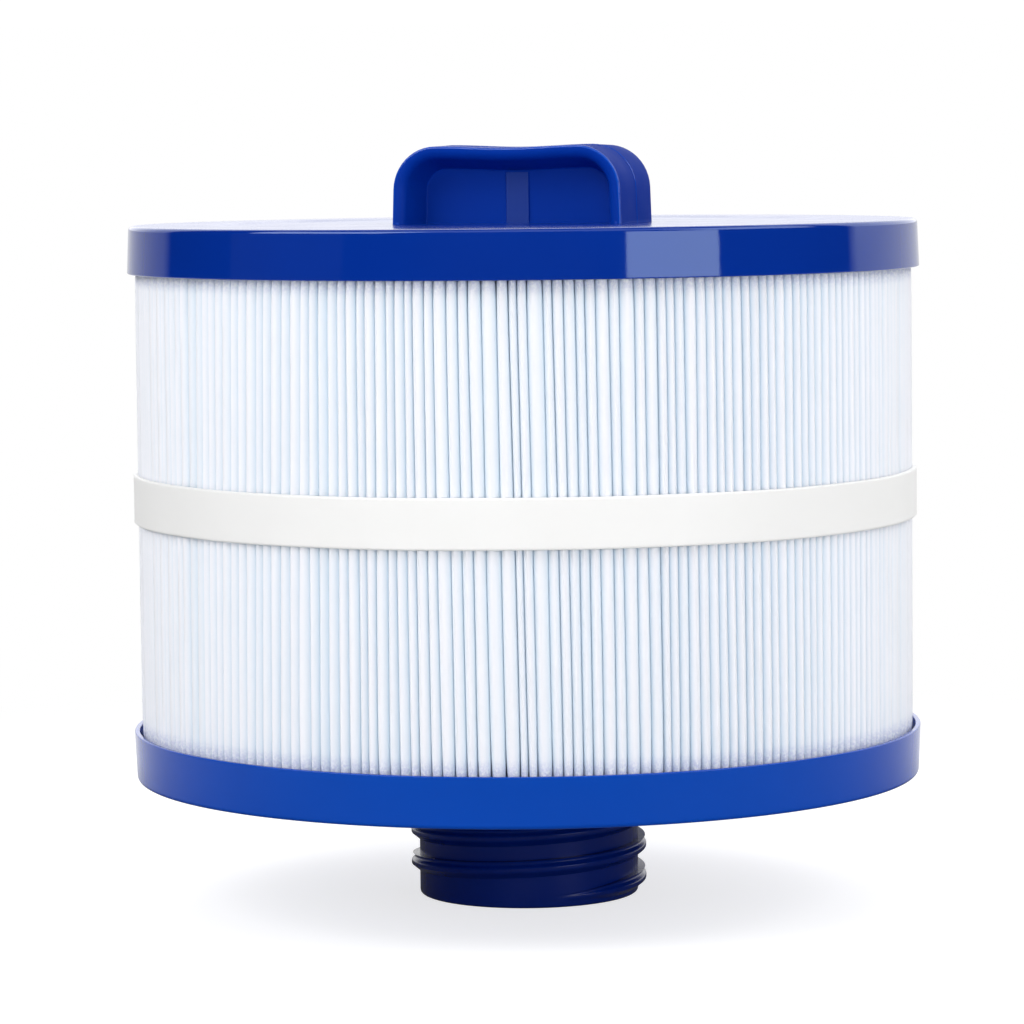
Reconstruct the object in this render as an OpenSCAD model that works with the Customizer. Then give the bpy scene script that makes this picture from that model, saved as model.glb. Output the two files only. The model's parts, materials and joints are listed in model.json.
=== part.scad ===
// Pleated filter cartridge for a spa or a small pool: a closed top cap with a
// grip, a pleated sheet round a perforated core, and a bottom cap with a
// hollow threaded outlet. Millimetres, +Z up. The origin is on the axis, in
// the plane of the outlet's lower end.

/* [Overall] */
// Outside diameter of both end caps at their open rims
cap_od = 216; // [180:1:260]
// Height from the outer face of one cap to the outer face of the other
body_h = 151.2; // [120:0.1:300]

/* [End caps] */
// Height of the top cap's skirt
top_cap_h = 12.9; // [11:0.1:20]
// Height of the bottom cap's skirt
bottom_cap_h = 13.5; // [11:0.1:20]
// Wall of both skirts
cap_wall = 1.4; // [1:0.1:2.4]
// Thickness of both caps under the flat outer ring of the face
cap_plate = 3; // [2.4:0.1:4]
// How much narrower a skirt's radius is at the closed face than at the rim
cap_draft = 0.55; // [0.2:0.05:1]
// Rounding of the edge between face and skirt
cap_edge_r = 1.2; // [0.4:0.1:2]
// Width of the flat outer ring of each cap's face
dish_ring_w = 21.4; // [12:0.1:30]
// Width of the sloped step down into the dished middle of the face
dish_step_w = 3.6; // [1:0.1:6]
// Depth of the dished middle of the face
dish_depth = 0.4; // [0.2:0.1:1.4]

/* [Handle] */
// Width of the grip where it leaves the cap
handle_w = 65.9; // [50:0.1:90]
// Depth of the grip at its mould parting line, front to back
handle_t = 29.2; // [24:0.1:40]
// Height of the grip above the cap's flat outer ring
handle_h = 21; // [16:0.1:30]
// Radius of the grip's two upper corners
handle_corner_r = 12.3; // [6:0.1:14]
// Lean of the grip's side walls, in degrees
handle_lean = 2; // [0:0.5:5]
// How far the grip's outline shrinks from the parting line to each face
handle_bulge = 0.5; // [0.2:0.1:1]
// Width of the rounding along the edges of the grip's two faces
handle_edge = 1.2; // [0.6:0.1:1.8]
// Width of the rim that is left round each finger pocket
pocket_rim = 2.8; // [2:0.1:4]
// How far each pocket's floor lies inside the grip's outline
pocket_inset = 7.1; // [5:0.1:9]
// Depth of each finger pocket
pocket_depth = 11; // [5:0.1:11.2]
// Width of the flat stiffening rib up the middle of each pocket
handle_rib_w = 6.3; // [4:0.1:12]
// How far the stiffening rib stands off the pocket floor
handle_rib_h = 0.6; // [0.4:0.1:2]
// Thickness of the flange that is trapped under the top cap
handle_flange_t = 2.5; // [1.5:0.1:4]
// How far that flange reaches past the grip on every side
handle_flange_w = 6; // [3:0.5:12]

/* [Filter sheet] */
// Number of pleats
pleat_count = 230; // [160:2:240]
// Thickness of the filter sheet
media_t = 0.5; // [0.4:0.05:0.55]
// Gap between one outer fold and the next
fold_gap = 0.6; // [0.4:0.05:0.9]
// Width of each inner fold, across the sheet's outer faces
root_fold_w = 1.18; // [1.16:0.01:1.2]
// Gap between the outer folds and the inside of a cap's rim
tip_gap = 0.65; // [0.4:0.05:2]
// How far the glue in the side seam reaches outward from the core
seam_glue_w = 10; // [5:0.5:20]

/* [Core] */
// Outside diameter of the perforated core
core_od = 100; // [96:0.5:120]
// Wall of the core
core_wall = 3; // [2:0.1:5]
// Number of columns of windows round the core, an even number
window_columns = 16; // [12:2:20]
// Number of rows of windows up the core
window_rows = 7; // [4:1:9]
// Width of a window
window_w = 11; // [6:0.5:14]
// Height of the solid hoop between two rows of windows
hoop_h = 5; // [3:0.5:8]

/* [Band] */
// Height of the band round the pleats
band_w = 13.2; // [8:0.1:25]
// Thickness of the band
band_t = 1.15; // [0.5:0.05:2]
// How far the band's middle lies above the middle of the pleats
band_rise = 1.3; // [-20:0.1:20]
// Length of the welded overlap at the back of the band
band_lap = 30; // [15:1:50]

/* [Outlet] */
// Length of the threaded outlet below the bottom cap
spigot_h = 33.6; // [33:0.1:50]
// Diameter of the outlet between the turns of its thread
spigot_d = 60.3; // [55:0.1:66]
// Diameter of the flow bore
bore_d = 51; // [40:0.5:52]
// Rounding of the outlet's lower edge
spigot_edge = 1; // [0.4:0.1:1.6]
// Diameter over the crest of the thread
thread_d = 64.9; // [64:0.1:72]
// Rise of the thread in one turn
thread_pitch = 8.7; // [8:0.1:9.5]
// Number of turns of the thread
thread_turns = 2.4; // [1:0.1:2.6]
// Height of the middle of the thread at its start
thread_start_h = 2.6; // [2.5:0.1:5]
// Direction in which the thread starts, in degrees from +X
thread_start_a = -55; // [-180:1:180]
// Width of the thread at its root
thread_root_w = 4.9; // [3:0.1:5]
// Width of the thread at its crest
thread_crest_w = 1.2; // [0.6:0.1:2]
// Outside diameter of the flange that is potted into the bottom cap
spigot_flange_d = 124; // [122:1:150]
// Thickness of that flange
spigot_flange_t = 3; // [2:0.1:4]
// Height of the collar that centres the core
collar_h = 8; // [4:0.5:12]
// Wall of that collar
collar_wall = 3; // [2:0.1:5]

/* [Potting] */
// Thickness of the cast resin in each cap
potting_t = 6; // [5:0.1:8]
// How deep the core's upper end is set into the resin
core_embed = 3; // [1:0.5:4]

/* [Fit] */
// Gap between round faces that meet
fit_gap = 0.1; // [0.05:0.05:0.2]

/* [Hidden] */
$fn = 96;

// Heights of the main planes, from the outlet's lower end upward
z_bottom_face = spigot_h;
z_bottom_plate = z_bottom_face + cap_plate;
z_media_low = z_bottom_plate + potting_t;
z_top_face = z_bottom_face + body_h;
z_top_plate = z_top_face - cap_plate;
z_media_high = z_top_plate - potting_t;
z_shown_low = z_bottom_face + bottom_cap_h;
z_shown_high = z_top_face - top_cap_h;
z_band = (z_shown_low + z_shown_high) / 2 + band_rise;
media_h = z_media_high - z_media_low;

// Radii that the pieces share
rim_r = cap_od / 2;
rim_inner_r = rim_r - cap_wall;
tip_r = rim_inner_r - tip_gap;
core_r = core_od / 2;
root_r = core_r + fit_gap;
core_inner_r = core_r - core_wall;
collar_r = core_inner_r - fit_gap;

// Grip outline
handle_lean_in = handle_h * tan(handle_lean);
handle_base_z = z_top_plate - handle_flange_t;
z_pocket = z_top_face - dish_depth;
window_slot_w = handle_w + 2 * fit_gap;
window_slot_t = handle_t + 2 * fit_gap;

// Angle between one pleat and the next, and the width of an outer fold
pleat_a = 360 / pleat_count;
tip_fold_w = 2 * tip_r * sin(pleat_a / 2) - fold_gap;

// Gap between the seam's glue and the sheet on either side
glue_gap = 0.02;

// Thread facets, how far the thread's root is buried in the outlet's wall, and
// how it starts and ends: over a few steps it grows from a small share of its
// height and a larger share of its root's width
thread_steps_per_turn = 40;
thread_steps = round(thread_turns * thread_steps_per_turn);
thread_bury = 0.8;
thread_runout_steps = 5;
thread_first_step = 0.2;
thread_end_w = 0.4;

// Steps in a drawn arc, the thickness of a slice, and how far a cut overruns
arc_steps = 8;
slice_t = 0.01;
over = 1;

// Skirt radius of a cap at height h above its closed outer face
function skirt_r(h, cap_h) = rim_r - cap_draft * (1 - h / cap_h);

// Inside radius of the skirt at height h
function skirt_inner_r(h, cap_h) = skirt_r(h, cap_h) - cap_wall;

// Point at radius r and angle a
function polar(r, a) = [r * cos(a), r * sin(a)];

// Points of an arc about [x, y]
function arc_points(x, y, r, a_from, a_to, steps) =
    [for (i = [0:steps]) [x, y] + polar(r, a_from + (a_to - a_from) * i / steps)];

// A cap lying on its closed face: a dished plate and a drafted skirt
module cap_shell(cap_h) {
    face_r = skirt_r(0, cap_h);
    dish_outer_r = face_r - dish_ring_w;
    rotate_extrude()
        polygon(concat(
            [[0, dish_depth], [dish_outer_r - dish_step_w, dish_depth], [dish_outer_r, 0]],
            arc_points(face_r - cap_edge_r, cap_edge_r, cap_edge_r, -90, 0, arc_steps),
            [
                [rim_r, cap_h],
                [rim_inner_r, cap_h],
                [skirt_inner_r(cap_plate, cap_h), cap_plate],
                [0, cap_plate]
            ]
        ));
}

// Cast resin in a cap that lies on its closed face
module cap_resin(cap_h) {
    translate([0, 0, cap_plate])
        cylinder(
            h = potting_t,
            r1 = skirt_inner_r(cap_plate, cap_h) - fit_gap,
            r2 = skirt_inner_r(cap_plate + potting_t, cap_h) - fit_gap
        );
}

// Turns a cap over and sets its closed face at the top of the cartridge
module at_top() {
    translate([0, 0, z_top_face]) mirror([0, 0, 1]) children();
}

// Sets a cap's closed face at the bottom of the cartridge
module at_bottom() {
    translate([0, 0, z_bottom_face]) children();
}

// A plate with rounded corners, centred on the axis
module rounded_plate(w, t, h, r) {
    linear_extrude(height = h) {
        square([w - 2 * r, t], center = true);
        square([w, t - 2 * r], center = true);
        for (sx = [-1, 1], sy = [-1, 1])
            translate([sx * (w / 2 - r), sy * (t / 2 - r)]) circle(r = r);
    }
}

// Front outline of the grip, shrunk by inset, from height base_z up to its top
module grip_outline(inset, base_z) {
    corner_r = max(slice_t, handle_corner_r - inset);
    half = handle_w / 2 - inset;
    half_top = half - handle_lean_in;
    top = z_top_face + handle_h - inset;
    polygon(concat(
        [[-half, base_z], [half, base_z]],
        arc_points(half_top - corner_r, top - corner_r, corner_r, 0, 90, arc_steps),
        arc_points(-half_top + corner_r, top - corner_r, corner_r, 90, 180, arc_steps)
    ));
}

// A thin slice of the grip outline at depth y
module grip_slice(y, inset, base_z) {
    translate([0, y, 0]) rotate([90, 0, 0])
        linear_extrude(height = slice_t, center = true)
            grip_outline(inset, base_z);
}

// One finger pocket, cut into the grip from the side that faces -Y
module finger_pocket() {
    face_y = -handle_t / 2;
    floor_y = face_y + pocket_depth;
    difference() {
        hull() {
            grip_slice(face_y - over, pocket_rim - handle_edge / 2, z_pocket);
            grip_slice(floor_y, pocket_inset, z_pocket);
        }
        translate([-handle_rib_w / 2, floor_y - handle_rib_h, z_pocket - over])
            cube([handle_rib_w, handle_rib_h + over, handle_h + over]);
    }
}

module top_cap() {
    color("mediumblue")
        difference() {
            at_top() cap_shell(top_cap_h);
            translate([0, 0, z_top_plate - over])
                rounded_plate(window_slot_w, window_slot_t, cap_plate + 2 * over, handle_edge);
        }
}

module handle() {
    face_y = handle_t / 2;
    color("mediumblue") {
        difference() {
            hull() {
                grip_slice(0, 0, z_top_plate);
                for (side = [-1, 1]) {
                    grip_slice(side * (face_y - handle_edge), handle_bulge, z_top_plate);
                    grip_slice(side * face_y, handle_bulge + handle_edge, z_top_plate);
                }
            }
            finger_pocket();
            mirror([0, 1, 0]) finger_pocket();
        }
        translate([0, 0, handle_base_z])
            rounded_plate(
                handle_w + 2 * handle_flange_w,
                handle_t + 2 * handle_flange_w,
                handle_flange_t,
                handle_flange_w
            );
    }
}

module top_potting() {
    flange_w = handle_w + 2 * (handle_flange_w + fit_gap);
    flange_t = handle_t + 2 * (handle_flange_w + fit_gap);
    color("navy")
        difference() {
            at_top() cap_resin(top_cap_h);
            translate([0, 0, handle_base_z])
                rounded_plate(flange_w, flange_t, handle_flange_t + over, handle_flange_w);
            translate([0, 0, z_media_high - over])
                difference() {
                    cylinder(h = core_embed + over, r = core_r + fit_gap);
                    translate([0, 0, -over])
                        cylinder(h = core_embed + 3 * over, r = core_inner_r - fit_gap);
                }
        }
}

// The sheet is one strip, folded to and fro between the core and the caps'
// rims. It starts and ends at the side seam, on the -X side of the core.
module pleated_sheet() {
    // Half widths of a fold's two faces, as angles about the cartridge's axis
    tip_out = asin(tip_fold_w / 2 / tip_r);
    tip_in = asin((tip_fold_w / 2 - media_t) / (tip_r - media_t));
    root_in = asin(root_fold_w / 2 / root_r);
    root_out = asin((root_fold_w / 2 - media_t) / (root_r + media_t));
    first_a = 180 + pleat_a / 2;
    last = pleat_count - 1;

    // Outer face, from the seam round to the seam
    outer_face = [
        for (i = [0:last]) let (a = first_a + i * pleat_a) each [
            polar(i == 0 ? root_r : root_r + media_t, a - pleat_a / 2 + root_out),
            polar(tip_r, a - tip_out),
            polar(tip_r, a + tip_out),
            polar(i == last ? root_r : root_r + media_t, a + pleat_a / 2 - root_out)
        ]
    ];
    // Inner face, back the other way
    inner_face = [
        for (i = [last:-1:0]) let (a = first_a + i * pleat_a) each [
            polar(root_r, a + pleat_a / 2 - root_in),
            polar(tip_r - media_t, a + tip_in),
            polar(tip_r - media_t, a - tip_in),
            polar(root_r, a - pleat_a / 2 + root_in)
        ]
    ];
    color("white")
        translate([0, 0, z_media_low])
            linear_extrude(height = media_h)
                polygon(concat(outer_face, inner_face));
}

// Glue between the two ends of the sheet, at the root of the seam
module seam_glue() {
    root_half = root_fold_w / 2 - media_t - glue_gap;
    tip_half = tip_r * tan(pleat_a / 2) - tip_fold_w / 2 - glue_gap;
    grow = (tip_half - root_half) / (tip_r - root_r);
    far_half = root_half + grow * seam_glue_w;
    color("ivory")
        translate([0, 0, z_media_low])
            linear_extrude(height = media_h)
                polygon([
                    [-root_r, -root_half],
                    [-root_r, root_half],
                    [-root_r - seam_glue_w, far_half],
                    [-root_r - seam_glue_w, -far_half]
                ]);
}

module core_tube() {
    low = z_bottom_plate + spigot_flange_t;
    high = z_media_high + core_embed;
    window_zone = media_h - collar_h - 2 * hoop_h;
    row_step = (window_zone + hoop_h) / window_rows;
    color("gainsboro")
        difference() {
            translate([0, 0, low]) cylinder(h = high - low, r = core_r);
            translate([0, 0, low - over]) cylinder(h = high - low + 2 * over, r = core_inner_r);
            for (row = [0:window_rows - 1], column = [0:window_columns / 2 - 1])
                rotate(column * 360 / window_columns)
                    translate([
                        -core_od,
                        -window_w / 2,
                        z_media_low + collar_h + hoop_h + row * row_step
                    ])
                        cube([2 * core_od, window_w, row_step - hoop_h]);
        }
}

module pleat_band() {
    inner_r = tip_r + fit_gap / 2;
    outer_r = inner_r + band_t;
    lap_r = outer_r + band_t / 2;
    lap_half_w = band_lap / 2;
    color("whitesmoke")
        translate([0, 0, z_band - band_w / 2])
            linear_extrude(height = band_w)
                difference() {
                    union() {
                        circle(r = outer_r);
                        intersection() {
                            circle(r = lap_r);
                            translate([-lap_half_w, 0]) square([band_lap, lap_r + over]);
                        }
                    }
                    circle(r = inner_r);
                }
}

module bottom_potting() {
    color("navy")
        difference() {
            at_bottom() cap_resin(bottom_cap_h);
            translate([0, 0, z_bottom_plate - over])
                cylinder(h = spigot_flange_t + over, d = spigot_flange_d + 2 * fit_gap);
            translate([0, 0, z_bottom_plate])
                cylinder(h = potting_t + over, r = core_r + fit_gap);
        }
}

module bottom_cap() {
    color("mediumblue")
        difference() {
            at_bottom() cap_shell(bottom_cap_h);
            translate([0, 0, z_bottom_face - over])
                cylinder(h = cap_plate + 2 * over, d = spigot_d + 2 * fit_gap);
        }
}

// Height of the middle of the thread, and its angle, at a step
function thread_z(step) = thread_start_h + thread_pitch * step / thread_steps_per_turn;
function thread_a(step) = thread_start_a + 360 * step / thread_steps_per_turn;

// Share of its full height that the thread has at a step, tapered at both ends
function thread_share(step) =
    min(thread_runout_steps, min(step, thread_steps - step) + thread_first_step) / thread_runout_steps;

// The four corners of the thread's section at a step, buried root first
function thread_ring(step) =
    let (
        share = thread_share(step),
        inner = spigot_d / 2 - thread_bury,
        crest = spigot_d / 2 + (thread_d - spigot_d) / 2 * share,
        half_root = thread_root_w / 2 * (thread_end_w + (1 - thread_end_w) * share),
        half_crest = thread_crest_w / 2,
        z = thread_z(step),
        a = thread_a(step)
    )
    [
        for (p = [[inner, -half_root], [crest, -half_crest], [crest, half_crest], [inner, half_root]])
            [p[0] * cos(a), p[0] * sin(a), z + p[1]]
    ];

// Single-start right-hand ridge
module thread_ridge() {
    side_faces = [
        for (s = [0:thread_steps - 1], c = [0:3]) let (n = (c + 1) % 4) each [
            [4 * s + c, 4 * (s + 1) + n, 4 * (s + 1) + c],
            [4 * s + c, 4 * s + n, 4 * (s + 1) + n]
        ]
    ];
    last = 4 * thread_steps;
    polyhedron(
        points = [for (s = [0:thread_steps]) each thread_ring(s)],
        faces = concat([[3, 2, 1, 0]], side_faces, [[last, last + 1, last + 2, last + 3]]),
        convexity = 6
    );
}

module threaded_outlet() {
    bore_r = bore_d / 2;
    root = spigot_d / 2;
    flange_r = spigot_flange_d / 2;
    flange_top = z_bottom_plate + spigot_flange_t;
    color("midnightblue") {
        rotate_extrude()
            polygon(concat(
                [[bore_r, 0]],
                arc_points(root - spigot_edge, spigot_edge, spigot_edge, -90, 0, arc_steps),
                [
                    [root, z_bottom_plate],
                    [flange_r, z_bottom_plate],
                    [flange_r, flange_top],
                    [collar_r, flange_top],
                    [collar_r, flange_top + collar_h],
                    [collar_r - collar_wall, flange_top + collar_h],
                    [collar_r - collar_wall, flange_top],
                    [bore_r, flange_top]
                ]
            ));
        thread_ridge();
    }
}

top_cap();
handle();
top_potting();
pleated_sheet();
seam_glue();
core_tube();
pleat_band();
bottom_potting();
bottom_cap();
threaded_outlet();
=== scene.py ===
"""Looks of a pleated spa filter cartridge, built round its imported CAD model. Metres, +Z up."""

import json
import math
import random

import bmesh
import bpy
import numpy as np
from mathutils import Matrix, Vector


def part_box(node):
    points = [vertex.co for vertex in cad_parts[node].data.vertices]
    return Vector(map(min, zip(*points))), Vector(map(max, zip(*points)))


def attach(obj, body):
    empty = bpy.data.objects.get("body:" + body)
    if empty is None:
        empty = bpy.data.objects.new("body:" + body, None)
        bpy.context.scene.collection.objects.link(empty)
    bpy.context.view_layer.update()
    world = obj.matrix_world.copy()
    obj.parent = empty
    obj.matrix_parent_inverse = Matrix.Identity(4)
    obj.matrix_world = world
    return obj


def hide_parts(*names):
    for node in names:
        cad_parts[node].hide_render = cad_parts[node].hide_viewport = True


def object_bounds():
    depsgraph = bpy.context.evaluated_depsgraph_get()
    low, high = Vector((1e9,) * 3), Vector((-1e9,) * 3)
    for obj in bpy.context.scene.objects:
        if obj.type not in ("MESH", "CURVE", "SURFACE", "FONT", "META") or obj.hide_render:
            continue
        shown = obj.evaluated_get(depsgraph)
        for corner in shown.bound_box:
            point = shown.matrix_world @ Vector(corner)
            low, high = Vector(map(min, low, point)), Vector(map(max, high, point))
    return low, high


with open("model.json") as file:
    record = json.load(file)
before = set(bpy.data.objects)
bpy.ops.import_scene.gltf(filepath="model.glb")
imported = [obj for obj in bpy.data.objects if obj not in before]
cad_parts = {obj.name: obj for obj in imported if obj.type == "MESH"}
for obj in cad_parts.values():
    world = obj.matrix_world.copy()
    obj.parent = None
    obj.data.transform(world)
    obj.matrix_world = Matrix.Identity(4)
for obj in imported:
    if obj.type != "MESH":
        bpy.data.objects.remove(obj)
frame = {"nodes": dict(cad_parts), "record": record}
cad_low, cad_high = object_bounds()

MM = 0.001
TINY = 1e-6
TAU = 2 * math.pi

# Sizes that the frame gives
top_cap_low, top_cap_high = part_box("top_cap")
bottom_cap_low, bottom_cap_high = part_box("bottom_cap")
sheet_low, sheet_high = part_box("pleated_sheet")
band_low, band_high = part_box("pleat_band")
grip_low, grip_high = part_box("handle")
core_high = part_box("core_tube")[1]
outlet_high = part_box("threaded_outlet")[1]
bore_mount = next(m for m in frame["record"]["mounts"] if m["name"] == "outlet_bore")

RIM_R = top_cap_high.x
TOP_FACE = top_cap_high.z
BOTTOM_FACE = bottom_cap_low.z
TIP_R = sheet_high.x
SHEET_H = sheet_high.z - sheet_low.z
BAND_INNER_R = TIP_R + 0.05 * MM
BAND_OUTER_R = band_high.x
BORE_R = bore_mount["dims"]["r_mm"] * MM
OUTLET_FLANGE_R = outlet_high.x
OUTLET_TOP = outlet_high.z

# Sizes of the caps, as in the CAD model
CAP_WALL = 1.4 * MM
CAP_PLATE = 3 * MM
CAP_DRAFT = 0.55 * MM
CAP_EDGE_R = 1.2 * MM
DISH_RING_W = 21.4 * MM
DISH_STEP_W = 3.6 * MM
DISH_DEPTH = 0.4 * MM
DISH_FILLET_R = 2 * MM
CAP_LIP_R = 0.35 * MM
CAP_SEGMENTS = 512

# Clearance round what passes through a cap
PASS_GAP = 0.1 * MM

# Sizes of the grip
GRIP_W = 65.9 * MM
GRIP_T = 29.2 * MM
GRIP_LEAN = math.radians(2)
GRIP_CORNER_R = 12.3 * MM
GRIP_LEAST_R = 1.2 * MM
GRIP_BULGE = 0.3 * MM
GRIP_DIP = 0.6 * MM
POCKET_RIM = 3.2 * MM
POCKET_DEPTH = 11 * MM
POCKET_INSET = 6.3 * MM
STRIP_W = 6.3 * MM
STRIP_H = 0.5 * MM
STRIP_EDGE_W = 0.25 * MM
PARTING_RIDGE = 0.12 * MM
GRIP_BULGE_R = 6 * MM
RIM_OUTER_R = 0.6 * MM
RIM_INNER_R = 2.9 * MM
POCKET_FILLET_R = 0.5 * MM
POCKET_LEDGE = 0.7 * MM

# The arch goes this far into its block, which starts this far above the flange's underside
ARCH_BURY = 0.4 * MM
BLOCK_START_H = 1 * MM
BLOCK_CORNER_R = 1.2 * MM
BLOCK_CHAMFER = 0.2 * MM
GRIP_FLANGE_CORNER_R = 6 * MM
GRIP_FLANGE_CHAMFER = 0.3 * MM

# Steps along one side, one corner and each half of the grip's flat middle, beside its strip
SIDE_STEPS = 8
CORNER_STEPS = 12
MIDDLE_STEPS = 6

# Places of the grip's finishes in its list of materials, after its plain blue; the last adds a painted
# highlight
SATIN, TEXTURED, GLOSS_AND_HIGHLIGHT = 1, 2, 3

# Loops of the grip's wall, counted from its parting line, that are textured and then glossy with a
# painted highlight
GRIP_TEXTURE_LOOPS = 11
GRIP_EDGE_LOOPS = 7

# Sizes of the filter sheet
PLEATS = 230
SHEET_T = 0.5 * MM
ROOT_R = core_high.x + 0.1 * MM
ROOT_FOLD_W = 1.18 * MM
TIP_SLOPE = 1.2 * MM
TIP_SHOULDER = 0.35 * MM
TIP_PLACES = [-1, -0.93, -0.75, -0.4, 0, 0.4, 0.75, 0.93, 1]
TIP_SETBACK = 0.2 * MM
ROOT_ROUNDING = 0.12 * MM

# The gap between two folds is of the first kind, or else, for some of them, of the second
USUAL_GAP = (0.02 * MM, 0.06 * MM)
WIDE_GAP = (0.07 * MM, 0.13 * MM)
WIDE_GAP_SHARE = 0.1

# Folds lean from one end to the other and wave
FOLD_SWAY = 0.16 * MM
FOLD_WAVE = 0.1 * MM

# Next to a cap, over this height, folds draw in and get narrower
PINCH_H = 4 * MM
PINCH_DEPTH = 0.5 * MM
PINCH_SHARE = 0.4

# Height over which the sheet has drawn resin up next to a cap
WICK_H = 4 * MM

# Widths of the folds as shares of the usual one: their spread, and how many are wider by how much
FOLD_SPREAD = 0.08
WIDER_CHANCE = 0.05
WIDER_BY = 0.3
FOLD_NARROWEST = 0.75
FOLD_WIDEST = 1.5

# Places round the sheet, from its seam, where the folds are packed least evenly, and what they add
UNRULY = [0.13, 0.303, 0.52, 0.81]
UNRULY_REACH = 0.025
UNRULY_SPREAD = 0.12
UNRULY_CHANCE = 0.1

# Direction in which the folds lie over the most, clockwise as seen from above, and by what share
# of their half width
FOLD_LEAN_A = math.radians(-92)
FOLD_LEAN = 0.42
FOLD_LEAN_SPREAD = 0.12
FOLD_LEAN_MOST = 0.65

# Stretches of the sheet that slant: degrees to the camera's right of it, and sideways drop
SLANT_REACH = math.radians(17)
SLANTS = [(-43, -2.9 * MM), (0, 1.8 * MM), (34, 1.1 * MM), (125, 1.5 * MM), (-120, 1.2 * MM)]

# Sizes of the outlet
OUTLET_R = 30.15 * MM
OUTLET_EDGE_R = 1 * MM
OUTLET_FILLET_R = 0.4 * MM
OUTLET_SEGMENTS = 256
OUTLET_RING_H = 2.5 * MM
THREAD_R = 32.45 * MM
THREAD_PITCH = 8.7 * MM
THREAD_TURNS = 2.4
THREAD_START_H = 2.6 * MM
THREAD_START_A = math.radians(-55)
THREAD_ROOT_W = 4.9 * MM
THREAD_CREST_W = 1.2 * MM
THREAD_FILLET_R = 0.7 * MM
THREAD_BURY = 0.8 * MM
THREAD_STEPS = 128
THREAD_RUNOUT_STEPS = 18
FLANGE_T = 3 * MM
COLLAR_R = 46.9 * MM
COLLAR_WALL = 3 * MM

# Sizes of the band's welded overlap, which is at the back, and of the dimples of its weld
LAP_W = 30 * MM
LAP_RISE = 0.55 * MM
LAP_RAMP_W = 4 * MM
DIMPLE_DEPTH = 0.16 * MM
DIMPLE_W = 2.4 * MM
DIMPLE_H = 2.2 * MM

# The camera looks at the grip's front from a little to its right
VIEW_AZIMUTH = math.radians(18.5)

# Edges between faces that meet at more than these angles stay sharp, in degrees
CREASE = 35
WIDE_CREASE = 50
FOLD_CREASE = 60


# ---------------------------------------------------------------- meshes


def make_piece(name, verts, faces, crease=CREASE, materials=()):
    """A smooth-shaded mesh object, with sharp edges where faces meet at more than crease degrees."""
    mesh = bpy.data.meshes.new(name)
    mesh.from_pydata(verts, [], faces)
    bm = bmesh.new()
    bm.from_mesh(mesh)
    bmesh.ops.recalc_face_normals(bm, faces=bm.faces)
    bm.to_mesh(mesh)
    bm.free()
    mesh.shade_smooth()
    mesh.set_sharp_from_angle(angle=math.radians(crease))
    for mat in materials:
        mesh.materials.append(mat)
    return place_in_scene(name, mesh)


def place_in_scene(name, data):
    """A new object in the scene that shows a mesh, a lamp or a camera."""
    obj = bpy.data.objects.new(name, data)
    bpy.context.collection.objects.link(obj)
    return obj


def weight_normals(obj):
    """Keeps flat faces looking flat right up to their rounded edges."""
    modifier = obj.modifiers.new("weighted_normals", "WEIGHTED_NORMAL")
    modifier.keep_sharp = True


def filleted(corners, steps=6):
    """An open outline through corners (x, y, radius), with its inner corners rounded."""
    points = []
    last = len(corners) - 1
    for i, (x, y, radius) in enumerate(corners):
        corner = Vector((x, y))
        if i in (0, last) or radius == 0:
            points.append((x, y))
            continue
        back = (Vector(corners[i - 1][:2]) - corner).normalized()
        ahead = (Vector(corners[i + 1][:2]) - corner).normalized()
        half = back.angle(ahead) / 2
        centre = corner + (back + ahead).normalized() * (radius / math.sin(half))
        start = corner + back * (radius / math.tan(half)) - centre
        end = corner + ahead * (radius / math.tan(half)) - centre
        turn = start.angle_signed(end)
        for k in range(steps + 1):
            arm = start.copy()
            arm.rotate(Matrix.Rotation(-turn * k / steps, 2))
            points.append(tuple(centre + arm))
    return points


def revolve_mesh(profile, segments):
    """Vertices and faces of a closed profile of (radius, height) points turned about Z."""
    verts = []
    rings = []
    for radius, height in profile:
        first = len(verts)
        if radius < TINY:
            verts.append((0, 0, height))
            rings.append([first] * segments)
            continue
        for s in range(segments):
            a = TAU * s / segments
            verts.append((radius * math.cos(a), radius * math.sin(a), height))
        rings.append([first + s for s in range(segments)])
    faces = []
    for i, ring in enumerate(rings):
        after = rings[(i + 1) % len(rings)]
        for s in range(segments):
            n = (s + 1) % segments
            corners = [ring[s], ring[n], after[n], after[s]]
            corners = [c for k, c in enumerate(corners) if c not in corners[:k]]
            if len(corners) > 2:
                faces.append(corners)
    return verts, faces


def grid_faces(rows, columns, offset=0, wrap=False):
    """Quads between rows of equal length, whose vertices follow each other."""
    faces = []
    for r in range(rows - 1):
        for c in range(columns if wrap else columns - 1):
            n = (c + 1) % columns
            a = offset + r * columns
            b = a + columns
            faces.append((a + c, a + n, b + n, b + c))
    return faces


def boolean(obj, tool, operation, crease=CREASE):
    """Applies an exact boolean of obj with tool, removes the tool and marks the sharp edges."""
    modifier = obj.modifiers.new("cut", "BOOLEAN")
    modifier.operation = operation
    modifier.solver = "EXACT"
    modifier.object = tool
    bpy.context.view_layer.update()
    evaluated = obj.evaluated_get(bpy.context.evaluated_depsgraph_get())
    mesh = bpy.data.meshes.new_from_object(evaluated)
    old = obj.data
    obj.modifiers.clear()
    obj.data = mesh
    bpy.data.meshes.remove(old)
    tool_mesh = tool.data
    bpy.data.objects.remove(tool)
    bpy.data.meshes.remove(tool_mesh)
    mesh.set_sharp_from_angle(angle=math.radians(crease))


# ------------------------------------------------------------- materials


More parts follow.
